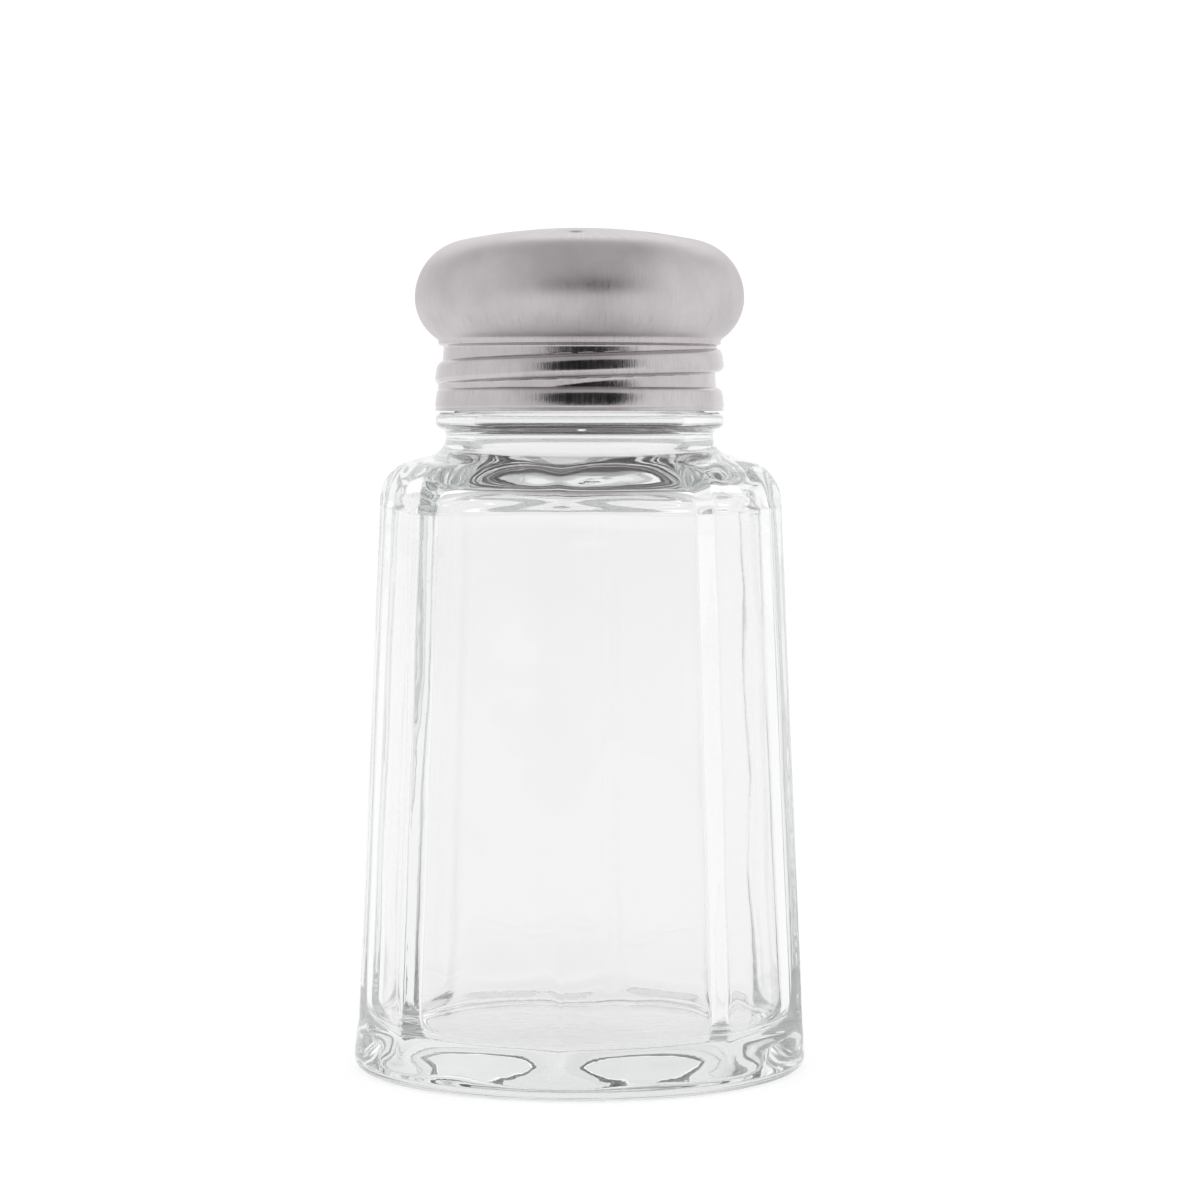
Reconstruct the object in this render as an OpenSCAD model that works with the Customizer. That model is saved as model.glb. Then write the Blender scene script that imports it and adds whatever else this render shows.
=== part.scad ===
// Panelled glass table shaker with a one-piece pressed screw cap.
// The foot stands on Z = 0, and the axis of the jar and the cap is Z. All sizes are millimetres.

/* [Jar body] */
// Flat panels around the jar
panel_count = 8; // [6:1:10]
// Radius of the round foot where its side would meet the table
foot_r = 26.65; // [25.5:0.05:28]
// Rounding of the foot's lower edge
heel_r = 1.3; // [0.8:0.1:2]
// Height of the round foot, where the panels begin
foot_h = 3.6; // [2.5:0.1:5]
// Radius of the jar where its side would meet the shoulder
shoulder_r = 23.65; // [22.5:0.05:25]
// Height of that corner
shoulder_z = 70.15; // [66:0.05:72]
// Rounding from the side into the shoulder
shoulder_round = 5; // [3:0.1:6]
// Radius at which the panels' shoulder has blended into the round one
blend_r = 17.6; // [17.4:0.1:19]
// How much the panels' own edges are rounded off, as a radius difference
edge_relief = 0.18; // [0.1:0.01:0.4]
// Glass thickness behind the middle of a panel
panel_wall = 2.7; // [2:0.1:4]
// Glass thickness behind an edge between two panels
edge_wall = 3.3; // [2.6:0.1:4.5]
// Glass thickness of the floor at its rim
floor_wall = 4.6; // [3:0.1:7]
// Depth of the shallow hollow under the foot
dish_depth = 0.7; // [0.3:0.1:1.2]
// Radius of that hollow
dish_r = 20; // [16:0.5:22]

/* [Jar neck] */
// Radius of the neck below its bead
neck_r = 15.7; // [15:0.05:16.5]
// Height at which the shoulder meets the neck
neck_z = 72.6; // [72:0.05:73.5]
// Radius of the bead under the cap
bead_r = 16.9; // [16.3:0.05:17.5]
// Height of the bead's lower corner
bead_z = 75.3; // [74.9:0.05:75.4]
// Height of the bead
bead_h = 1.65; // [1.6:0.05:1.75]
// Radius of the threaded neck between its threads
finish_r = 14.5; // [14.2:0.05:14.8]
// Radius of the glass thread's crest
thread_crest_r = 15.25; // [15:0.05:15.25]
// Height of the mouth
mouth_z = 86.7; // [85:0.1:88]
// Radius of the mouth's bore
bore_r = 12.5; // [10:0.1:13]

/* [Cap] */
// Height of the whole shaker
total_h = 98.5; // [97:0.1:101]
// Largest radius of the mushroom top
cap_r = 19.3; // [18.8:0.05:20.5]
// Height at which the mushroom top is widest
widest_z = 90.4; // [89.8:0.1:90.6]
// Rounding of its side above that height
brow_r = 6.8; // [5.5:0.1:7]
// Rounding of its side below that height
under_r = 5.8; // [5:0.1:6]
// Rounding where the mushroom top meets the skirt
cove_r = 0.6; // [0.5:0.1:1.2]
// Radius of the collar there, above the thread
collar_r = 16.55; // [16.3:0.05:16.8]
// Thickness of the pressed sheet
sheet_t = 0.4; // [0.3:0.05:0.5]
// Radius of the skirt at its rim and on its thread
skirt_r = 17.05; // [16.9:0.05:17.3]
// Height of the skirt's lower rim
rim_z = 77.1; // [77:0.05:77.8]

/* [Rolled thread] */
// Radius of the skirt's waist, beside the thread
waist_r = 15.95; // [15.95:0.05:16.5]
// Height of the plain band above the rim
band_h = 2.8; // [2:0.1:3]
// How much narrower, in radius, the band is at its top
band_taper = 0.35; // [0:0.05:0.4]
// How much the band bulges between its top and its rim
band_crown = 0.1; // [0:0.02:0.14]
// Width of the thread's ridge
ridge_w = 2.9; // [2:0.1:3]
// Rise of the ridge in one turn
lead = 3.2; // [2.6:0.1:3.2]
// Turns of the ridge
ridge_turns = 1.06; // [0.8:0.02:1.1]
// Height of the middle of the ridge where it starts
ridge_z = 80.6; // [80.4:0.1:81]
// Angle at which the ridge starts
ridge_angle = 62.5; // [0:0.5:360]

/* [Pour holes] */
// Radius of each pour hole
hole_r = 0.9; // [0.5:0.05:1.5]
// Radius of the ring of holes around the middle one
hole_ring_r = 10; // [5:0.1:12]
// Holes in the ring
hole_count = 6; // [3:1:10]
// Angle of the ring's first hole
hole_angle = 10.5; // [0:0.5:60]

/* [Hidden] */
$fn = 128;
ARC_STEPS = 10;

// Side of the jar: an edge line, and the panel planes that meet just outside it
panel_turn = 360 / panel_count;
panel_share = cos(panel_turn / 2);
side_slope = (foot_r - shoulder_r) / shoulder_z;
tilt = atan(side_slope * panel_share);
function edge_radius(z) = foot_r - side_slope * z;
function panel_radius(z) = (edge_radius(z) + edge_relief) * panel_share;

// Shoulder: the panels' own shoulder rises more steeply, to end just above the round one
shoulder_slope = (neck_z - shoulder_z) / (shoulder_r - neck_r);
panel_top = [panel_radius(shoulder_z), shoulder_z];
blend = [blend_r, shoulder_z + (shoulder_r - blend_r) * shoulder_slope];
blend_end = panel_top + 1.05 * (blend - panel_top);

// Inside of the jar
inner_shoulder_z = shoulder_z - edge_wall + 0.4;
inner_neck_z = inner_shoulder_z + (edge_radius(inner_shoulder_z) - edge_wall - bore_r) * shoulder_slope;

// Glass thread: it lies inside the ridge of the cap's thread
thread_root_w = 2;
thread_crest_w = 0.7;
thread_steps = 48;
thread_count = round(thread_steps * ridge_turns);
thread_fade = 0.08;

// Mushroom top: the crown, the side above and below its widest height and the cove are tangent arcs
brow = [cap_r - brow_r, widest_z];
under = [cap_r - under_r, widest_z];
crown_r = (pow(brow[0], 2) + pow(total_h - widest_z, 2) - pow(brow_r, 2)) / (2 * (total_h - widest_z - brow_r));
crown = [0, total_h - crown_r];
crown_angle = asin(brow[0] / (crown_r - brow_r));
cove_x = collar_r + cove_r;
cove_z = widest_z - sqrt(pow(under_r + cove_r, 2) - pow(cove_x - under[0], 2));
cove = [cove_x, cove_z];
cove_angle = atan2(cove_z - widest_z, cove_x - under[0]);

// Skirt: a grid of points around the cap, tucked a little way into the wall of the top
tuck_z = cove_z - 0.15;
tuck_t = 0.06;
collar_share = (collar_r - waist_r) / (skirt_r - waist_r);
collar_h = 0.45;
skirt_columns = 72;
skirt_rows = 26;
flank_h = 0.9;
ridge_fade = 0.1;
ridge_lean = 0.17;
flank_foot = 0.15;

// Where the thread starts, the groove below its ridge deepens over part of a turn
run_in_start = 0.1;
run_in_turns = 0.5;

function unit(v) = v / norm(v);
function flat(p) = [p[0], p[1]];

// Arc of points about a centre
function arc(centre, r, from, to) =
  [for (i = [0:ARC_STEPS]) let (a = from + (to - from) * i / ARC_STEPS) centre + r * [cos(a), sin(a)]];

// Tangent arc of radius r that rounds the corner b between a and c
function corner(a, b, c, r) =
  let (u = unit(a - b), v = unit(c - b), half = acos(u * v) / 2,
       centre = b + unit(u + v) * r / sin(half),
       start = b + u * r / tan(half) - centre, end = b + v * r / tan(half) - centre,
       from = atan2(start[1], start[0]), turn = (atan2(end[1], end[0]) - from + 540) % 360 - 180)
  arc(centre, r, from, from + turn);

// Outline of points [radius, height, rounding], with each corner rounded
function rounded(path) =
  [for (i = [0:len(path) - 1]) each
     path[i][2] == 0 ? [flat(path[i])]
                     : corner(flat(path[i - 1]), flat(path[i]), flat(path[i + 1]), path[i][2])];

function smooth(x) = let (t = min(1, max(0, x))) t * t * (3 - 2 * t);

// Flank of a ridge: 1 up to 0, steep at 1, and above the ridge a shallow foot out to 2
function flank(off) = off <= 0 ? 1 : off >= 1 ? 0 : pow(1 - pow(off, 4), 0.7);
function upper_flank(off) = off <= 0 ? 1 : max(flank(off), flank_foot * (2 - off), 0);

// Share of the way from the waist out to the skirt's full radius, at an angle and a height
function ridge_turn(turn, z) =
  let (off = (z - ridge_z - lead * turn) / (ridge_w / 2))
  smooth(turn / ridge_fade) * smooth((ridge_turns - turn) / ridge_fade)
  * (off > 0 ? upper_flank(off) : flank(-off)) * (1 - ridge_lean * min(2, 1 + off));
function run_in(turn, z) =
  z > ridge_z + lead * turn ? 0
  : (1 - ridge_lean) * smooth(turn / ridge_fade) * (1 - smooth((turn - run_in_start) / run_in_turns));
function plain_band(z) =
  let (up = (z - rim_z) / band_h)
  max(0, 1 - (band_taper * up + band_crown * pow(2 * up - 1, 2)) / (skirt_r - waist_r))
  * upper_flank((z - rim_z - band_h + flank_h) / flank_h);
function rolled(angle, z) =
  let (turn = ((angle - ridge_angle + 720) % 360) / 360,
       below = max(ridge_turn(turn, z), ridge_turn(turn + 1, z), run_in(turn, z), plain_band(z)),
       near = smooth((z - tuck_z + collar_h) / collar_h))
  below * (1 - near) + collar_share * near;

// Triangles between rows of points, where each row has count points and closes on itself
function band(low, high, count) =
  [for (i = [0:count - 1]) let (j = (i + 1) % count)
     each [[low + i, high + i, high + j], [low + i, high + j, low + j]]];

// What is cut away outside each panel: its plane from the foot up, and its share of the shoulder
module panel_facets() {
  for (i = [0:panel_count - 1])
    rotate([0, 0, i * panel_turn])
      rotate([90, 0, 0])
        translate([0, 0, -foot_r])
          linear_extrude(2 * foot_r)
            polygon(rounded([
              [2 * foot_r, foot_h, 0],
              [panel_radius(foot_h), foot_h, 0],
              [panel_top[0], panel_top[1], shoulder_round],
              [blend_end[0], blend_end[1], 0],
              [2 * foot_r, blend_end[1], 0],
            ]));
}

// The planes that flatten the inside of the jar behind its panels
module inside_facets() {
  for (i = [0:panel_count - 1])
    rotate([0, 0, i * panel_turn])
      translate([panel_radius(0) - panel_wall, -foot_r, 0])
        rotate([0, -tilt, 0])
          cube([foot_r, 2 * foot_r, shoulder_z]);
}

module jar_outside() {
  difference() {
    rotate_extrude()
      polygon(rounded([
        [0, dish_depth, 0],
        [dish_r, dish_depth, 1.5],
        [dish_r + 1.5, 0, 0.6],
        [foot_r, 0, heel_r],
        [shoulder_r, shoulder_z, shoulder_round],
        [neck_r, neck_z, 2.1],
        [neck_r, bead_z - 0.6, 0.6],
        [bead_r, bead_z, 0.9],
        [bead_r, bead_z + bead_h, 0.7],
        [finish_r, bead_z + bead_h, 0.4],
        [finish_r, mouth_z, 0.9],
        [0, mouth_z, 0],
      ]));
    panel_facets();
  }
}

module jar_inside() {
  difference() {
    rotate_extrude()
      polygon(rounded([
        [0, floor_wall + 0.5, 0],
        [edge_radius(0) - edge_wall, floor_wall, 3.6],
        [edge_radius(inner_shoulder_z) - edge_wall, inner_shoulder_z, 3.4],
        [bore_r, inner_neck_z, 1.6],
        [bore_r, mouth_z - 0.5, 0],
        [bore_r + 0.5, mouth_z, 0],
        [bore_r + 0.5, mouth_z + 1, 0],
        [0, mouth_z + 1, 0],
      ]));
    inside_facets();
  }
}

module glass_thread() {
  rings = [for (i = [0:thread_count])
    let (turn = i / thread_steps, a = ridge_angle + 360 * turn, z = ridge_z + lead * turn,
         rise = smooth(turn / thread_fade) * smooth((ridge_turns - turn) / thread_fade),
         crest = finish_r + (thread_crest_r - finish_r) * rise)
    each [for (p = [[finish_r - 0.4, -thread_root_w / 2], [crest, -thread_crest_w / 2],
                    [crest, thread_crest_w / 2], [finish_r - 0.4, thread_root_w / 2]])
      [p[0] * cos(a), p[0] * sin(a), z + p[1]]]];
  last = 4 * thread_count;
  polyhedron(rings, concat(
    [[0, 1, 2], [0, 2, 3], [last + 2, last + 1, last], [last + 3, last + 2, last]],
    [for (i = [0:thread_count - 1]) each band(4 * i, 4 * i + 4, 4)]));
}

module glass_jar() {
  color([0.88, 0.91, 0.9, 0.4])
    difference() {
      union() {
        jar_outside();
        glass_thread();
      }
      jar_inside();
    }
}

module mushroom_top() {
  rotate_extrude()
    polygon(concat(
      arc(crown, crown_r, 90, 90 - crown_angle),
      arc(brow, brow_r, 90 - crown_angle, 0),
      arc(under, under_r, 0, cove_angle),
      arc(cove, cove_r, 180 + cove_angle, 180),
      [[collar_r, tuck_z], [collar_r - sheet_t, tuck_z]],
      arc(cove, cove_r + sheet_t, 180, 180 + cove_angle),
      arc(under, under_r - sheet_t, cove_angle, 0),
      arc(brow, brow_r - sheet_t, 0, 90 - crown_angle),
      arc(crown, crown_r - sheet_t, 90 - crown_angle, 90)));
}

module skirt() {
  heights = concat([for (j = [0:skirt_rows]) rim_z + (tuck_z - rim_z) * j / skirt_rows], [tuck_z + 0.25]);
  rows = len(heights);
  function ring(z, inset) =
    let (tuck = z < tuck_z ? 0 : tuck_t * (inset == 0 ? -1 : 1))
    [for (i = [0:skirt_columns - 1])
      let (a = 360 * i / skirt_columns, r = waist_r + (skirt_r - waist_r) * rolled(a, z) - inset + tuck)
      [r * cos(a), r * sin(a), z]];
  points = concat([for (z = heights) each ring(z, 0)], [for (z = heights) each ring(z, sheet_t)]);
  inner = rows * skirt_columns;
  top = (rows - 1) * skirt_columns;
  function flipped(faces) = [for (f = faces) [f[0], f[2], f[1]]];
  polyhedron(points, concat(
    [for (j = [0:rows - 2]) each band(j * skirt_columns, (j + 1) * skirt_columns, skirt_columns)],
    flipped([for (j = [0:rows - 2]) each
      band(inner + j * skirt_columns, inner + (j + 1) * skirt_columns, skirt_columns)]),
    flipped(band(0, inner, skirt_columns)),
    band(top, inner + top, skirt_columns)));
}

module pour_holes() {
  cylinder(r = hole_r, h = total_h + 1);
  for (i = [0:hole_count - 1])
    rotate([0, 0, hole_angle + 360 * i / hole_count])
      translate([hole_ring_r, 0, widest_z])
        cylinder(r = hole_r, h = total_h);
}

module shaker_cap() {
  color([0.74, 0.72, 0.71])
    union() {
      difference() {
        mushroom_top();
        pour_holes();
      }
      skirt();
    }
}

glass_jar();
shaker_cap();
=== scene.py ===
import math

import bmesh
import bpy
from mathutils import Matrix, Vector
from mathutils.geometry import delaunay_2d_cdt


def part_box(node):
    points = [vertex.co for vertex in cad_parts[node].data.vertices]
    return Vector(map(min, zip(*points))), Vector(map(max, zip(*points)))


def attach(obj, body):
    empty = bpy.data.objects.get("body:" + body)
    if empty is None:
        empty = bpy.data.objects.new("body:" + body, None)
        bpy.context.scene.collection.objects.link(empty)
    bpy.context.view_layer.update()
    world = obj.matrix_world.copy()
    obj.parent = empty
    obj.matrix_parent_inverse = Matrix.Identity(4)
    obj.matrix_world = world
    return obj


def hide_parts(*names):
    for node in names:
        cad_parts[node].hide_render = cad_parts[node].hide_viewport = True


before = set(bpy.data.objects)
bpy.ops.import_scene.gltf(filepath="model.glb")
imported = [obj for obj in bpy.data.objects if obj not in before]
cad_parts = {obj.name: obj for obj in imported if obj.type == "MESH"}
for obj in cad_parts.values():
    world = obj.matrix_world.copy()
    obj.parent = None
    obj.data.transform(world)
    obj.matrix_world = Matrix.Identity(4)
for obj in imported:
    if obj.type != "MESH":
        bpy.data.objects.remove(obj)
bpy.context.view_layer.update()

MM = 0.001
jar_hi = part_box("glass_jar")[1]
cap_lo, cap_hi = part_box("shaker_cap")

# ---------------------------------------------------------------- sizes, in millimetres
MOUTH_Z = jar_hi[2] / MM
TOTAL_H = cap_hi[2] / MM
RIM_Z = cap_lo[2] / MM
CAP_R = cap_hi[0] / MM

PANELS = 8
FOOT_R, SHOULDER_R, SHOULDER_Z, SHOULDER_ROUND = 26.65, 23.65, 70.15, 5.0
HEEL_R, FOOT_H, STEP_REACH, STEP_H = 1.3, 3.6, 3.2, 1.8
BLEND_R, EDGE_RELIEF, PANEL_WALL, EDGE_WALL, FLOOR_WALL = 17.6, 0.18, 2.7, 3.3, 4.6
DISH_DEPTH, DISH_R = 0.7, 20.0
NECK_R, NECK_Z = 15.7, 72.6
BEAD_R, BEAD_Z, BEAD_H = 16.9, 75.3, 1.65
FINISH_R, THREAD_CREST_R, BORE_R = 14.5, 15.25, 12.5
THREAD_HALF_W, THREAD_FLANK, THREAD_FADE, THREAD_CLEAR = 1.0, 0.7, 0.08, 0.4
INSET, OUTER_EDGE_BLEND, INNER_EDGE_BLEND = 0.02, 0.5, 2.6
OUTER_RIPPLE, INNER_RIPPLE = 0.03, 0.09
OUTER_FADE_H, INNER_FADE_LOW_H, INNER_FADE_HIGH_H = 6, 8, 4
WAVE_Z, WAVE_H, WAVE_RATE, WAVE_SWAY = 65.5, 2.2, 3.1, 0.8

WIDEST_Z, BROW_R, UNDER_R, COVE_R, COLLAR_R = 90.4, 6.8, 5.8, 0.6, 16.55
SHEET_T, SKIRT_R, WAIST_R = 0.4, 17.05, 15.95
BAND_H, BAND_TAPER, BAND_CROWN = 2.8, 0.35, 0.1
RIDGE_W, LEAD, RIDGE_TURNS, RIDGE_Z, RIDGE_ANGLE = 2.9, 3.2, 1.06, 80.6, 62.5
FLANK_H, RIDGE_FADE, RIDGE_LEAN, FLANK_FOOT, RUN_IN_START, RUN_IN_TURNS = 0.9, 0.1, 0.17, 0.15, 0.1, 0.5
HOLE_R, HOLE_RING_R, HOLE_COUNT, HOLE_ANGLE = 0.9, 10.0, 6, 10.5
HEM_DEPTH, HEM_UP, HEM_W = 0.1, 0.36, 0.1
PUNCH_DEPTH, PUNCH_REACH = 0.16, 0.28

# ---------------------------------------------------------------- fineness of the meshes

ARC_STEP, SMALL_ARC_STEP, SMALL_ARC_R = 5.0, 9.0, 1
COLUMNS_PER_PANEL, EVEN_SHARE = 28, 0.45
THREAD_SPACING, EDGE_SPACING, INNER_SPACING, PLAIN_SPACING = 0.2, 0.26, 0.5, 1.3
CAP_COLUMNS = 240
SKIRT_SPACING, CROWN_SPACING = (0.09, 0.2), (0.5, 0.6)  # outside, inside
HOLE_POINTS, GRID_START, GRID_SPACING, HOLE_CLEAR = 32, 2.6, 0.55, 2.45
ON_AXIS, WELD, SHARP_ANGLE = 0.01, 0.002, 50

# ---------------------------------------------------------------- outlines


def smooth(x):
    t = min(1.0, max(0.0, x))
    return t * t * (3 - 2 * t)


def soft_min(a, b, blend):
    h = max(blend - abs(a - b), 0.0) / blend
    return min(a, b) - h * h * blend / 4


def arc(centre, r, start, end, step_deg):
    """Points of an arc, from the start angle to the end angle."""
    n = max(2, round(abs(end - start) / step_deg))
    angles = [math.radians(start + (end - start) * i / n) for i in range(n + 1)]
    return [(centre[0] + r * math.cos(a), centre[1] + r * math.sin(a)) for a in angles]


def corner(a, b, c, r):
    """The tangent arc of radius r that rounds the corner b between a and c."""
    a, b, c = Vector(a), Vector(b), Vector(c)
    u, v = (a - b).normalized(), (c - b).normalized()
    half = math.acos(max(-1.0, min(1.0, u.dot(v)))) / 2
    centre = b + (u + v).normalized() * r / math.sin(half)
    start = b + u * r / math.tan(half) - centre
    end = b + v * r / math.tan(half) - centre
    first = math.degrees(math.atan2(start.y, start.x))
    turn = (math.degrees(math.atan2(end.y, end.x)) - first + 540) % 360 - 180
    return arc(centre, r, first, first + turn, ARC_STEP if r > SMALL_ARC_R else SMALL_ARC_STEP)


def rounded(path):
    """An outline of (radius, height, rounding), with each corner rounded."""
    points = []
    for i, (r, z, rounding) in enumerate(path):
        if rounding:
            points += corner(path[i - 1][:2], (r, z), path[i + 1][:2], rounding)
        else:
            points.append((r, z))
    return points


def spaced(points, spacing):
    """The outline with its long stretches cut up to the spacing that holds at each radius and height."""
    out = [points[0]]
    for a, b in zip(points, points[1:]):
        n = max(1, math.ceil(math.dist(a, b) / spacing(a[0], (a[1] + b[1]) / 2)))
        out += [(a[0] + (b[0] - a[0]) * i / n, a[1] + (b[1] - a[1]) * i / n) for i in range(1, n + 1)]
    return out


# ---------------------------------------------------------------- the jar

SIDE_SLOPE = (FOOT_R - SHOULDER_R) / SHOULDER_Z
PANEL_SHARE = math.cos(math.pi / PANELS)


def edge_radius(z):
    return FOOT_R - SIDE_SLOPE * z


def panel_radius(z):
    return (edge_radius(z) + EDGE_RELIEF) * PANEL_SHARE


SHOULDER_SLOPE = (NECK_Z - SHOULDER_Z) / (SHOULDER_R - NECK_R)


def panel_shoulder():
    """The middle of a panel from its plane over its own shoulder, which ends on the round one."""
    top = (panel_radius(SHOULDER_Z), SHOULDER_Z)
    blend = (BLEND_R, SHOULDER_Z + (SHOULDER_R - BLEND_R) * SHOULDER_SLOPE)
    past, low_z = 1.05, 60
    end = (top[0] + past * (blend[0] - top[0]), top[1] + past * (blend[1] - top[1]))
    return corner((panel_radius(low_z), low_z), top, end, SHOULDER_ROUND) + [end]


PANEL_SHOULDER = panel_shoulder()


def facet_radius(z):
    """How far out the middle of a panel is at a height."""
    if z < PANEL_SHOULDER[0][1]:
        return panel_radius(z)
    for (r0, z0), (r1, z1) in zip(PANEL_SHOULDER, PANEL_SHOULDER[1:]):
        if z < z1:
            return r0 + (r1 - r0) * (z - z0) / (z1 - z0)
    return FOOT_R


def panel_columns(per_panel):
    """Angles around the jar, each with its angle from its panel's middle.

    They are closer together at the edges between panels.
    """
    half = math.pi / PANELS
    columns = []
    for p in range(PANELS):
        for i in range(per_panel):
            u = 2 * i / per_panel - 1
            off = half * (EVEN_SHARE * u + (1 - EVEN_SHARE) * math.sin(u * math.pi / 2))
            columns.append((2 * half * p + off, off))
    return columns


def ripple(angle, z, phase):
    """The slow unevenness of pressed glass, as a number near -1 to 1."""
    return (
        0.45 * math.sin(3 * angle + 0.11 * z + phase)
        + 0.30 * math.sin(5 * angle - 0.19 * z + 2.1 * phase)
        + 0.25 * math.sin(8 * angle + 0.31 * z + 0.7 * phase)
    )


def thread_height(angle, z):
    """How far the glass thread stands out of the neck."""
    turn = ((angle - math.radians(RIDGE_ANGLE)) / (2 * math.pi)) % 1
    best = 0.0
    for t in (turn, turn + 1):
        off = abs(z - RIDGE_Z - LEAD * t)
        if t < RIDGE_TURNS and off < THREAD_HALF_W:
            ends = smooth(t / THREAD_FADE) * smooth((RIDGE_TURNS - t) / THREAD_FADE)
            best = max(best, ends * smooth((THREAD_HALF_W - off) / THREAD_FLANK))
    return best * (THREAD_CREST_R - FINISH_R)


def jar_outer_radius(r, z, angle, off):
    """The panels cut into the round outside, down to the step at the top of the foot."""
    if z > NECK_Z:
        threaded = z > BEAD_Z + BEAD_H + THREAD_CLEAR and r > FINISH_R - 0.05
        return r + (thread_height(angle, z) if threaded else 0.0)
    step = STEP_REACH * (1 - smooth((z - FOOT_H + STEP_H / 2) / STEP_H))
    flat = (facet_radius(z) + step) / math.cos(off)
    out = soft_min(r, flat, OUTER_EDGE_BLEND)
    side = smooth(z / OUTER_FADE_H) * smooth((NECK_Z - z) / OUTER_FADE_H)
    return out - INSET + OUTER_RIPPLE * side * ripple(angle, z, 0.4)


def jar_inner_radius(r, z, angle, off):
    """The panels on the inside, with small waves where the wall meets the shoulder."""
    flat = (panel_radius(z) - PANEL_WALL) / math.cos(off)
    out = soft_min(r, flat, INNER_EDGE_BLEND)
    side = smooth((z - FLOOR_WALL) / INNER_FADE_LOW_H) * smooth((NECK_Z - z) / INNER_FADE_HIGH_H)
    waves = math.sin(WAVE_RATE * z + WAVE_SWAY * math.sin(4 * angle))
    under_shoulder = math.exp(-(((z - WAVE_Z) / WAVE_H) ** 2)) * waves
    return out + INNER_RIPPLE * side * (ripple(angle, z, 2.3) + under_shoulder)


def revolve(bm, outline, columns, radius_at):
    """Rings of points around the axis; an outline point on the axis becomes one point."""
    rings = []
    for r, z in outline:
        if r < ON_AXIS:
            rings.append([bm.verts.new((0, 0, z * MM))])
            continue
        ring = []
        for angle, off in columns:
            out = radius_at(r, z, angle, off) * MM
            ring.append(bm.verts.new((out * math.cos(angle), out * math.sin(angle), z * MM)))
        rings.append(ring)
    return rings


def skin(bm, rings):
    """Faces between neighbouring rings, facing the right of the outline where it rises."""
    n = max(len(ring) for ring in rings)
    for a, b in zip(rings, rings[1:]):
        for i in range(n):
            j = (i + 1) % n
            corners = [a[i % len(a)], a[j % len(a)], b[j % len(b)], b[i % len(b)]]
            corners = [v for k, v in enumerate(corners) if v not in corners[:k]]
            if len(corners) > 2:
                bm.faces.new(corners)


def finish_mesh(bm, name, body, nodes):
    for face in bm.faces:
        face.smooth = True
    mesh = bpy.data.meshes.new(name)
    bm.to_mesh(mesh)
    bm.free()
    piece = bpy.data.objects.new(name, mesh)
    bpy.context.scene.collection.objects.link(piece)
    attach(piece, body)
    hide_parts(*nodes)
    return piece


def make_jar():
    top = BEAD_Z + BEAD_H
    outside = rounded([
        (0, DISH_DEPTH, 0),
        (DISH_R, DISH_DEPTH, 1.5),
        (DISH_R + 1.5, 0, 0.6),
        (FOOT_R, 0, HEEL_R),
        (SHOULDER_R, SHOULDER_Z, SHOULDER_ROUND),
        (NECK_R, NECK_Z, 2.1),
        (NECK_R, BEAD_Z - 0.6, 0.6),
        (BEAD_R, BEAD_Z, 0.9),
        (BEAD_R, top, 0.7),
        (FINISH_R, top, 0.4),
        (FINISH_R, MOUTH_Z, 0.9),
        (BORE_R, MOUTH_Z, 0.9),
        (BORE_R, MOUTH_Z - 3, 0),
    ])
    inner_z = SHOULDER_Z - EDGE_WALL + 0.4
    inner_r = edge_radius(inner_z) - EDGE_WALL
    inside = rounded([
        (BORE_R, MOUTH_Z - 3, 0),
        (BORE_R, inner_z + (inner_r - BORE_R) * SHOULDER_SLOPE, 1.6),
        (inner_r, inner_z, 3.4),
        (edge_radius(0) - EDGE_WALL, FLOOR_WALL, 3.6),
        (0, FLOOR_WALL + 0.5, 0),
    ])

    def outer_spacing(r, z):
        if z > top:
            return THREAD_SPACING
        by_foot = z < FOOT_H + 1.5 and r > DISH_R + 1
        return EDGE_SPACING if z > 64 or by_foot else PLAIN_SPACING

    def inner_spacing(r, z):
        by_floor = z < 9 and r > 15
        return INNER_SPACING if 62 < z < 71 or by_floor else PLAIN_SPACING

    columns = panel_columns(COLUMNS_PER_PANEL)
    bm = bmesh.new()
    rings = revolve(bm, spaced(outside, outer_spacing), columns, jar_outer_radius)
    rings += revolve(bm, spaced(inside, inner_spacing)[1:], columns, jar_inner_radius)
    skin(bm, rings)
    piece = finish_mesh(bm, "pressed_glass_jar", "jar", ["glass_jar"])
    return piece


# ---------------------------------------------------------------- the cap

BROW, UNDER = (CAP_R - BROW_R, WIDEST_Z), (CAP_R - UNDER_R, WIDEST_Z)
CROWN_H = TOTAL_H - WIDEST_Z
CROWN_R = (BROW[0] ** 2 + CROWN_H**2 - BROW_R**2) / (2 * (CROWN_H - BROW_R))
CROWN_ANGLE = math.degrees(math.asin(BROW[0] / (CROWN_R - BROW_R)))
CROWN_EDGE = CROWN_R * math.sin(math.radians(CROWN_ANGLE))
COVE_X = COLLAR_R + COVE_R
COVE_Z = WIDEST_Z - math.sqrt((UNDER_R + COVE_R) ** 2 - (COVE_X - UNDER[0]) ** 2)
COVE_ANGLE = math.degrees(math.atan2(COVE_Z - WIDEST_Z, COVE_X - UNDER[0]))
TUCK_Z = COVE_Z - 0.15
COLLAR_H = 0.45


def flank(off):
    """A ridge's flank: 1 up to 0, steep at 1."""
    return 1.0 if off <= 0 else 0.0 if off >= 1 else (1 - off**4) ** 0.7


def upper_flank(off):
    """The same flank with a shallow foot out to 2."""
    return 1.0 if off <= 0 else max(flank(off), FLANK_FOOT * (2 - off), 0.0)


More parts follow.
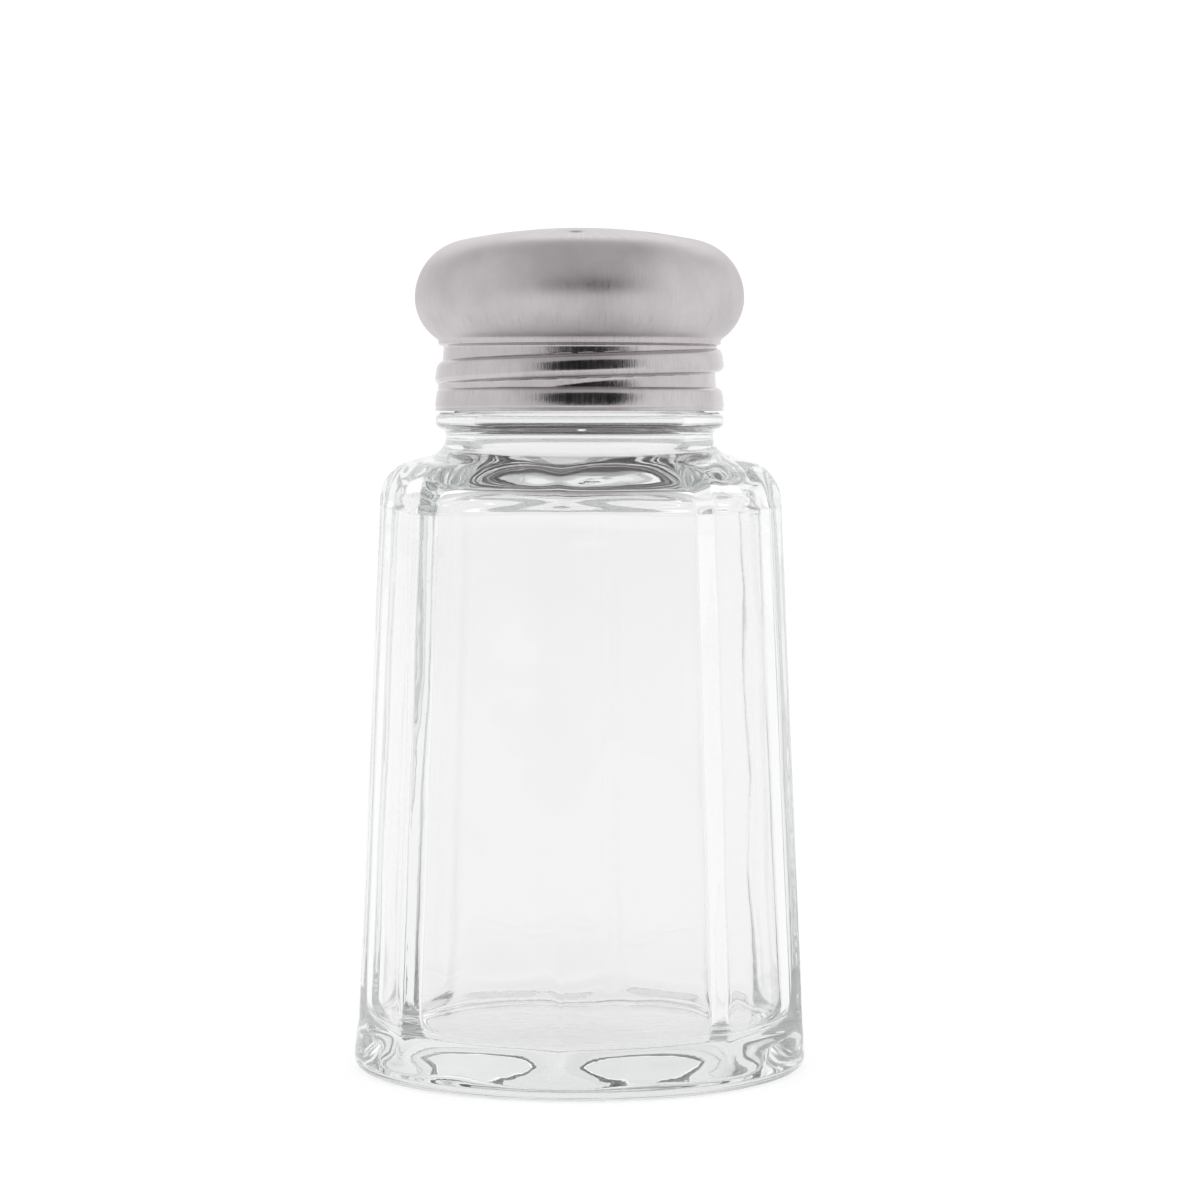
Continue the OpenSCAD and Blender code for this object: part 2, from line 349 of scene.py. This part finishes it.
def rolled(angle, z):
    """Share of the way from the waist out to the skirt's full radius, at an angle and a height."""
    turn = (math.degrees(angle) - RIDGE_ANGLE) % 360 / 360
    up = (z - RIM_Z) / BAND_H
    plain = max(0.0, 1 - (BAND_TAPER * up + BAND_CROWN * (2 * up - 1) ** 2) / (SKIRT_R - WAIST_R))
    best = plain * upper_flank((z - RIM_Z - BAND_H) / FLANK_H + 1)
    for t in (turn, turn + 1):
        ends = smooth(t / RIDGE_FADE) * smooth((RIDGE_TURNS - t) / RIDGE_FADE)
        off = (z - RIDGE_Z - LEAD * t) / (RIDGE_W / 2)
        side = upper_flank(off) if off > 0 else flank(-off)
        best = max(best, ends * side * (1 - RIDGE_LEAN * min(2.0, 1 + off)))
    if z < RIDGE_Z + LEAD * turn:
        fill = smooth(turn / RIDGE_FADE) * (1 - smooth((turn - RUN_IN_START) / RUN_IN_TURNS))
        best = max(best, (1 - RIDGE_LEAN) * fill)
    near = smooth((z - TUCK_Z + COLLAR_H) / COLLAR_H)
    return best * (1 - near) + (COLLAR_R - WAIST_R) / (SKIRT_R - WAIST_R) * near


def skirt_radius(r, z, angle, off):
    if z > COVE_Z:
        return r
    hem = HEM_DEPTH * math.exp(-(((z - RIM_Z - HEM_UP) / HEM_W) ** 2))
    return r - COLLAR_R + WAIST_R + (SKIRT_R - WAIST_R) * rolled(angle, z) - hem


def crown_points():
    """Points over the crown: rings around each pour hole, rings around the axis, and the crown's edge."""
    centres = [(0.0, 0.0)]
    for i in range(HOLE_COUNT):
        a = math.radians(HOLE_ANGLE + 360 * i / HOLE_COUNT)
        centres.append((HOLE_RING_R * math.cos(a), HOLE_RING_R * math.sin(a)))
    steps = [2 * math.pi * i / CAP_COLUMNS for i in range(CAP_COLUMNS)]
    points = [(CROWN_EDGE * math.cos(a), CROWN_EDGE * math.sin(a)) for a in steps]
    for cx, cy in centres:
        for ring, share in enumerate((1.0, 1.07, 1.16, 1.3, 1.5, 1.8, 2.2)):
            turned = 0.5 * (ring % 2)
            for k in range(HOLE_POINTS):
                a = 2 * math.pi * (k + turned) / HOLE_POINTS
                points.append((cx + HOLE_R * share * math.cos(a), cy + HOLE_R * share * math.sin(a)))
    r = GRID_START
    while r < CROWN_EDGE - 0.3:
        n = max(12, round(2 * math.pi * r / GRID_SPACING))
        for k in range(n):
            p = (r * math.cos(2 * math.pi * k / n), r * math.sin(2 * math.pi * k / n))
            if all(math.dist(p, c) > HOLE_CLEAR * HOLE_R for c in centres):
                points.append(p)
        r += GRID_SPACING
    return points, centres


def punched(p, centres):
    """How far the sheet is dragged down beside a pour hole by the punch."""
    near = min(math.dist(p, c) for c in centres) - HOLE_R
    return PUNCH_DEPTH * math.exp(-((near / PUNCH_REACH) ** 2))


def make_cap():
    crown_z, cove = TOTAL_H - CROWN_R, (COVE_X, COVE_Z)
    lip = SHEET_T / 2
    outside = (
        arc(BROW, BROW_R, 90 - CROWN_ANGLE, 0, 4)
        + arc(UNDER, UNDER_R, 0, COVE_ANGLE, 4)[1:]
        + arc(cove, COVE_R, 180 + COVE_ANGLE, 180, 6)[1:]
        + arc((COLLAR_R - lip, RIM_Z + lip), lip, 0, -90, 22.5)
    )
    inside = (
        arc((COLLAR_R - lip, RIM_Z + lip), lip, -90, -180, 22.5)
        + arc(cove, COVE_R + SHEET_T, 180, 180 + COVE_ANGLE, 6)
        + arc(UNDER, UNDER_R - SHEET_T, COVE_ANGLE, 0, 4)[1:]
        + arc(BROW, BROW_R - SHEET_T, 0, 90 - CROWN_ANGLE, 4)[1:]
    )
    columns = [(2 * math.pi * i / CAP_COLUMNS, 0.0) for i in range(CAP_COLUMNS)]
    bm = bmesh.new()
    outline = spaced(outside, lambda r, z: SKIRT_SPACING[0] if z < COVE_Z else CROWN_SPACING[0])
    outline += spaced(inside, lambda r, z: SKIRT_SPACING[1] if z < COVE_Z else CROWN_SPACING[1])[1:]
    rings = revolve(bm, outline, columns, skirt_radius)

    points, centres = crown_points()
    flat = [Vector(p) for p in points]
    verts, _, triangles, *_ = delaunay_2d_cdt(flat, [], [], 0, 1e-6)
    inner_scale = (CROWN_R - SHEET_T) / CROWN_R
    top, under = [], []
    for v in verts:
        down = punched((v.x, v.y), centres)
        out = math.hypot(v.x, v.y)
        z = crown_z + math.sqrt(CROWN_R**2 - out**2) - down
        top.append(bm.verts.new((v.x * MM, v.y * MM, z * MM)))
        z = crown_z + math.sqrt((CROWN_R - SHEET_T) ** 2 - (out * inner_scale) ** 2) - down
        under.append(bm.verts.new((v.x * inner_scale * MM, v.y * inner_scale * MM, z * MM)))
    edges = []
    for t in triangles:
        mid = sum((verts[i] for i in t), Vector((0, 0))) / len(t)
        if min(math.dist(mid, c) for c in centres) < HOLE_R * 0.98:
            continue
        area = (verts[t[1]] - verts[t[0]]).cross(verts[t[2]] - verts[t[0]])
        t = list(t) if area > 0 else list(t)[::-1]
        bm.faces.new([top[i] for i in t])
        bm.faces.new([under[i] for i in reversed(t)])
        edges += zip(t, t[1:] + t[:1])
    known = set(edges)
    for a, b in edges:
        if (b, a) not in known and math.hypot(*verts[a]) < CROWN_EDGE - 0.1:
            bm.faces.new([top[b], top[a], under[a], under[b]])
    skin(bm, rings)
    bmesh.ops.remove_doubles(bm, verts=bm.verts, dist=WELD * MM)
    bmesh.ops.recalc_face_normals(bm, faces=bm.faces)
    for e in bm.edges:
        if len(e.link_faces) == 2 and e.calc_face_angle() > math.radians(SHARP_ANGLE):
            e.smooth = False
    piece = finish_mesh(bm, "pressed_steel_cap", "cap", ["shaker_cap"])
    return piece


# ---------------------------------------------------------------- materials

GLASS_COLOUR, GLASS_IOR, SMUDGE_ROUGHNESS = (0.929, 0.928, 0.929, 1), 1.52, 0.05
GLASS_SHADOW, GLASS_BODY, GLASS_DENSITY = (0.96, 0.97, 0.965, 1), (0.66, 0.695, 0.685, 1), 10.0
STEEL_DARK, STEEL_LIGHT = (0.485, 0.454, 0.462), (0.582, 0.549, 0.56)
HAIRLINE_COLOUR, HAIRLINE_SHARE = (0.22, 0.205, 0.2, 1), 0.3
# Roughness where the draw marks are faint, and how much the strong ones add
SATIN_ROUGHNESS, SATIN_MARKS = 0.34, 0.1
SHINY_ROUGHNESS, SHINY_MARKS = 0.08, 0.12


class Nodes:
    """A material's or world's node tree, with short calls for the nodes used here."""

    def __init__(self, owner):
        owner.use_nodes = True
        self.tree = owner.node_tree
        self.tree.nodes.clear()

    def add(self, kind, **settings):
        node = self.tree.nodes.new(kind)
        for key, value in settings.items():
            setattr(node, key, value)
        return node

    def link(self, a, b):
        self.tree.links.new(a, b)

    def feed(self, socket, value):
        if isinstance(value, (int, float)):
            socket.default_value = value
        else:
            self.link(value, socket)

    def math(self, operation, a, b=0.0):
        node = self.add("ShaderNodeMath", operation=operation)
        self.feed(node.inputs[0], a)
        self.feed(node.inputs[1], b)
        return node.outputs[0]

    def noise(self, vector, scale, detail=2.0, roughness=0.5):
        node = self.add("ShaderNodeTexNoise")
        self.link(vector, node.inputs["Vector"])
        node.inputs["Scale"].default_value = scale
        node.inputs["Detail"].default_value = detail
        node.inputs["Roughness"].default_value = roughness
        return node.outputs["Fac"]

    def combine(self, x, y, z):
        node = self.add("ShaderNodeCombineXYZ")
        for socket, value in zip(node.inputs, (x, y, z)):
            self.feed(socket, value)
        return node.outputs[0]

    def along(self, vector, direction):
        """How far a vector reaches along a direction."""
        node = self.add("ShaderNodeVectorMath", operation="DOT_PRODUCT")
        self.link(vector, node.inputs[0])
        node.inputs[1].default_value = direction
        return node.outputs["Value"]

    def product(self, *values):
        out = values[0]
        for value in values[1:]:
            out = self.math("MULTIPLY", out, value)
        return out

    def less(self, *shares):
        """What is left of 1 when the product of the shares is taken off."""
        return self.math("SUBTRACT", 1.0, self.product(*shares))

    def ellipse(self, across, up, centre, half):
        """0 at the centre of an ellipse, 1 on its edge."""
        terms = []
        for value, middle, reach in zip((across, up), centre, half):
            off = self.math("DIVIDE", self.math("SUBTRACT", value, middle), reach)
            terms.append(self.math("POWER", off, 2.0))
        return self.math("ADD", *terms)

    def ramp(self, fac, stops):
        """A colour ramp between two stops."""
        node = self.add("ShaderNodeValToRGB")
        self.link(fac, node.inputs[0])
        for element, (at, colour) in zip(node.color_ramp.elements, stops):
            element.position = at
            element.color = (*colour, 1)
        return node.outputs[0]

    def map_range(self, value, low, high, to_low, to_high):
        node = self.add("ShaderNodeMapRange")
        for socket, v in zip(node.inputs, (value, low, high, to_low, to_high)):
            self.feed(socket, v)
        return node.outputs[0]

    def bump(self, height, strength, distance, normal=None):
        node = self.add("ShaderNodeBump")
        node.inputs["Strength"].default_value = strength
        node.inputs["Distance"].default_value = distance
        self.link(height, node.inputs["Height"])
        if normal:
            self.link(normal, node.inputs["Normal"])
        return node.outputs[0]


def glass_material():
    material = bpy.data.materials.new("clear_pressed_glass")
    n = Nodes(material)
    place = n.add("ShaderNodeTexCoord").outputs["Object"]
    broad = n.noise(place, 90, 2)
    fine = n.noise(place, 420, 3)
    smudge = n.noise(place, 60, 4, 0.6)
    glass = n.add("ShaderNodeBsdfPrincipled")
    glass.inputs["Base Color"].default_value = GLASS_COLOUR
    glass.inputs["Transmission Weight"].default_value = 1.0
    glass.inputs["IOR"].default_value = GLASS_IOR
    n.link(n.map_range(smudge, 0.45, 0.8, 0.0, SMUDGE_ROUGHNESS), glass.inputs["Roughness"])
    normal = n.bump(broad, 0.25, 0.0003)
    n.link(n.bump(fine, 0.08, 0.00005, normal), glass.inputs["Normal"])
    clear = n.add("ShaderNodeBsdfTransparent")
    clear.inputs[0].default_value = GLASS_SHADOW
    mix = n.add("ShaderNodeMixShader")
    n.link(n.add("ShaderNodeLightPath").outputs["Is Shadow Ray"], mix.inputs[0])
    n.link(glass.outputs[0], mix.inputs[1])
    n.link(clear.outputs[0], mix.inputs[2])
    body = n.add("ShaderNodeVolumeAbsorption")
    body.inputs["Color"].default_value = GLASS_BODY
    body.inputs["Density"].default_value = GLASS_DENSITY
    out = n.add("ShaderNodeOutputMaterial")
    n.link(mix.outputs[0], out.inputs["Surface"])
    n.link(body.outputs[0], out.inputs["Volume"])
    return material


def steel_material():
    material = bpy.data.materials.new("satin_stainless_steel")
    n = Nodes(material)
    place = n.add("ShaderNodeTexCoord").outputs["Object"]
    split = n.add("ShaderNodeSeparateXYZ")
    n.link(place, split.inputs[0])
    x, y, z = split.outputs
    angle = n.math("ARCTAN2", y, x)
    # Draw marks run up and down the sheet: fine around the cap, long along its height
    drawn = n.combine(n.math("MULTIPLY", angle, 12), n.math("MULTIPLY", z, 90), 0.0)
    marks = n.noise(drawn, 6, 4, 0.65)
    finer = n.noise(drawn, 26, 3, 0.6)
    worn = n.noise(place, 220, 4, 0.6)
    cloudy = n.noise(place, 75, 3, 0.55)
    # The thread's rollers leave the skirt shinier than the top
    skirt = n.map_range(z, (COVE_Z + 0.8) * MM, (COVE_Z - 0.6) * MM, 0.0, 1.0)
    steel = n.add("ShaderNodeBsdfPrincipled")
    steel.inputs["Metallic"].default_value = 1.0
    tone = n.math("ADD", n.math("MULTIPLY", worn, 0.5), n.math("MULTIPLY", cloudy, 0.5))
    colour = n.ramp(tone, [(0.38, STEEL_DARK), (0.62, STEEL_LIGHT)])
    # Hairline marks, most of them low on the top and on the skirt
    hair = n.noise(n.combine(n.math("MULTIPLY", angle, 30), n.math("MULTIPLY", z, 60), 0.0), 6, 2, 0.5)
    low = n.map_range(z, (WIDEST_Z + 1.5) * MM, (WIDEST_Z - 2.5) * MM, 0.15, 1.0)
    hairline = n.math("MULTIPLY", n.map_range(hair, 0.58, 0.7, 0.0, HAIRLINE_SHARE), low)
    shade = n.add("ShaderNodeMix", data_type="RGBA", blend_type="MIX")
    n.link(hairline, shade.inputs[0])
    n.link(colour, shade.inputs[6])
    shade.inputs[7].default_value = HAIRLINE_COLOUR
    n.link(shade.outputs[2], steel.inputs["Base Color"])
    scratched = n.map_range(marks, 0.35, 0.7, 0.0, 1.0)
    satin = n.math("ADD", SATIN_ROUGHNESS, n.math("MULTIPLY", scratched, SATIN_MARKS))
    shiny = n.math("ADD", SHINY_ROUGHNESS, n.math("MULTIPLY", scratched, SHINY_MARKS))
    on_top = n.math("MULTIPLY", satin, n.math("SUBTRACT", 1.0, skirt))
    mixed = n.math("ADD", on_top, n.math("MULTIPLY", shiny, skirt))
    n.link(n.math("ADD", mixed, n.map_range(worn, 0.3, 0.7, -0.03, 0.04)), steel.inputs["Roughness"])
    normal = n.bump(marks, 0.22, 0.0001)
    normal = n.bump(worn, 0.1, 0.0001, normal)
    n.link(n.bump(finer, 0.06, 0.00004, normal), steel.inputs["Normal"])
    out = n.add("ShaderNodeOutputMaterial")
    n.link(steel.outputs[0], out.inputs["Surface"])
    return material


# ---------------------------------------------------------------- studio

CAMERA_ANGLE = math.radians(-107.5)
CAMERA_DISTANCE = 455 * MM
CAMERA_Z = 77.4 * MM
TARGET_Z = 54.9 * MM
SIDE_SHIFT = 2.4 * MM
LENS_MM, SENSOR_MM = 116.1, 36
TOWARD = Vector((math.cos(CAMERA_ANGLE), math.sin(CAMERA_ANGLE), 0))
RIGHT = Vector((-TOWARD.y, TOWARD.x, 0))
UP = Vector((0, 0, 1))

FLOOR_R, FLOOR_DROP, FLOOR_GLOW = 4.0, 0.05 * MM, 0.73
WORLD_GLOW = 1.05
# Shares of the light taken off for reflected rays; a negative one adds light
# The floor's two shares are painted shade: a painted shadow of the shaker close in front, and painted
# shade farther in front
PAINTED_SHADOW_DIM, PAINTED_FRONT_SHADE_DIM = 0.32, 0.24
CEILING_DIM, DOORWAY_DIM, FRONT_DIM, LEFT_DIM, RIGHT_DIM = 0.42, 0.96, 0.08, 0.09, -0.04
# And for rays through the glass
GLASS_FRONT_DIM = 0.4
# Middles and half widths: distances ahead and aside on the floor, azimuth and height of a direction
# The first two are the floor's painted shadow patch and painted front shade patch
PAINTED_SHADOW = (0.055, 0.005), (0.05, 0.05)
PAINTED_FRONT_SHADE = (0.3, 0.0), (0.3, 0.16)
DOORWAY = (math.radians(7), 0.27), (math.radians(38), 0.2)
SOFTBOX_PLACE = TOWARD * -0.8 + Vector((0, 0, 0.75))
SOFTBOX_SIZE, SOFTBOX_WATTS, SOFTBOX_AIM = (1.2, 0.5), 0.8, Vector((0, 0, 0.05))
LIGHT_BOUNCES = 32


def make_camera():
    data = bpy.data.cameras.new("camera")
    data.lens = LENS_MM
    data.sensor_width = SENSOR_MM
    data.clip_start, data.clip_end = 0.01, 50
    camera = bpy.data.objects.new("camera", data)
    bpy.context.scene.collection.objects.link(camera)
    camera.location = TOWARD * CAMERA_DISTANCE + RIGHT * SIDE_SHIFT + Vector((0, 0, CAMERA_Z))
    target = RIGHT * SIDE_SHIFT + Vector((0, 0, TARGET_Z))
    camera.rotation_euler = (target - camera.location).to_track_quat("-Z", "Y").to_euler()
    bpy.context.scene.camera = camera


def make_floor():
    mesh = bpy.data.meshes.new("floor")
    bm = bmesh.new()
    bmesh.ops.create_circle(bm, cap_ends=True, segments=64, radius=FLOOR_R)
    bmesh.ops.translate(bm, verts=bm.verts, vec=(0, 0, -FLOOR_DROP))
    bm.to_mesh(mesh)
    bm.free()
    floor = bpy.data.objects.new("floor", mesh)
    bpy.context.scene.collection.objects.link(floor)
    material = bpy.data.materials.new("pale_floor")
    n = Nodes(material)
    floor_shader = n.add("ShaderNodeBsdfPrincipled")
    floor_shader.inputs["Base Color"].default_value = (0.3, 0.3, 0.3, 1)
    floor_shader.inputs["Roughness"].default_value = 0.9
    floor_shader.inputs["Specular IOR Level"].default_value = 0.0
    floor_shader.inputs["Emission Color"].default_value = (1, 1, 1, 1)
    # For reflected rays outside the glass, the floor's glow is dimmed in front as painted shade, and
    # dimmed more close to the shaker as a painted shadow of the shaker
    place = n.add("ShaderNodeTexCoord").outputs["Object"]
    ahead, aside = n.along(place, TOWARD), n.along(place, RIGHT)
    # near is the painted shadow of the shaker, dimming the floor's glow close in front
    near = n.map_range(n.ellipse(ahead, aside, *PAINTED_SHADOW), 0.8, 1.15, PAINTED_SHADOW_DIM, 0.0)
    painted_front_shade = n.map_range(n.ellipse(ahead, aside, *PAINTED_FRONT_SHADE), 0.4, 1.3, PAINTED_FRONT_SHADE_DIM, 0.0)
    ray = n.add("ShaderNodeLightPath").outputs
    glossy = n.product(ray["Is Glossy Ray"], n.math("LESS_THAN", ray["Transmission Depth"], 0.5))
    glow = n.product(n.less(glossy, near), n.less(glossy, painted_front_shade), FLOOR_GLOW)
    n.link(glow, floor_shader.inputs["Emission Strength"])
    out = n.add("ShaderNodeOutputMaterial")
    n.link(floor_shader.outputs[0], out.inputs["Surface"])
    mesh.materials.append(material)


def make_world():
    """A white surround.

    Reflected rays see a greyer ceiling and front, a slightly dimmer left than right, and a dark
    doorway low in front. Rays through the glass see a greyer front.
    """
    world = bpy.data.worlds.new("studio")
    bpy.context.scene.world = world
    n = Nodes(world)
    place = n.add("ShaderNodeTexCoord").outputs["Generated"]
    ray = n.add("ShaderNodeLightPath").outputs
    up, right, toward = (n.along(place, way) for way in (UP, RIGHT, TOWARD))
    # Ceiling: from just above the horizon in front, over the top, to the lit backdrop behind
    sides = n.map_range(n.math("ABSOLUTE", right), 0.3, 0.85, 1.0, 0.0)
    backdrop = n.map_range(toward, -0.72, -0.64, 0.0, 1.0)
    ceiling = n.product(sides, backdrop, n.map_range(up, 0.0, 0.25, 0.0, 1.0))
    # Doorway: an ellipse of directions, low in front
    azimuth = n.math("ARCTAN2", right, toward)
    doorway = n.map_range(n.ellipse(azimuth, up, *DOORWAY), 0.75, 1.25, DOORWAY_DIM, 0.0)
    front = n.map_range(toward, 0.1, 0.9, 0.0, 1.0)
    dimmer_left = n.map_range(right, -1.0, 1.0, LEFT_DIM, RIGHT_DIM)
    glossy = ray["Is Glossy Ray"]
    strength = n.product(
        n.less(glossy, ceiling, CEILING_DIM),
        n.less(glossy, doorway),
        n.less(glossy, front, FRONT_DIM),
        n.less(glossy, dimmer_left),
        n.less(ray["Is Transmission Ray"], front, GLASS_FRONT_DIM),
        WORLD_GLOW,
    )
    node = n.add("ShaderNodeBackground")
    node.inputs["Color"].default_value = (1, 1, 1, 1)
    n.link(strength, node.inputs["Strength"])
    out = n.add("ShaderNodeOutputWorld")
    n.link(node.outputs[0], out.inputs["Surface"])


def make_softbox():
    data = bpy.data.lights.new("backdrop_softbox", "AREA")
    data.shape = "RECTANGLE"
    data.size, data.size_y = SOFTBOX_SIZE
    data.energy = SOFTBOX_WATTS
    light = bpy.data.objects.new("backdrop_softbox", data)
    bpy.context.scene.collection.objects.link(light)
    light.location = SOFTBOX_PLACE
    aim = SOFTBOX_AIM - light.location
    light.rotation_euler = aim.to_track_quat("-Z", "Y").to_euler()


# ---------------------------------------------------------------- the scene

make_camera()
jar = make_jar()
cap = make_cap()
jar.data.materials.append(glass_material())
cap.data.materials.append(steel_material())
make_floor()
make_world()
make_softbox()
scene = bpy.context.scene
scene.view_settings.view_transform = "Standard"
scene.cycles.use_denoising = True
scene.cycles.max_bounces = LIGHT_BOUNCES
scene.cycles.transmission_bounces = LIGHT_BOUNCES
scene.cycles.glossy_bounces = LIGHT_BOUNCES
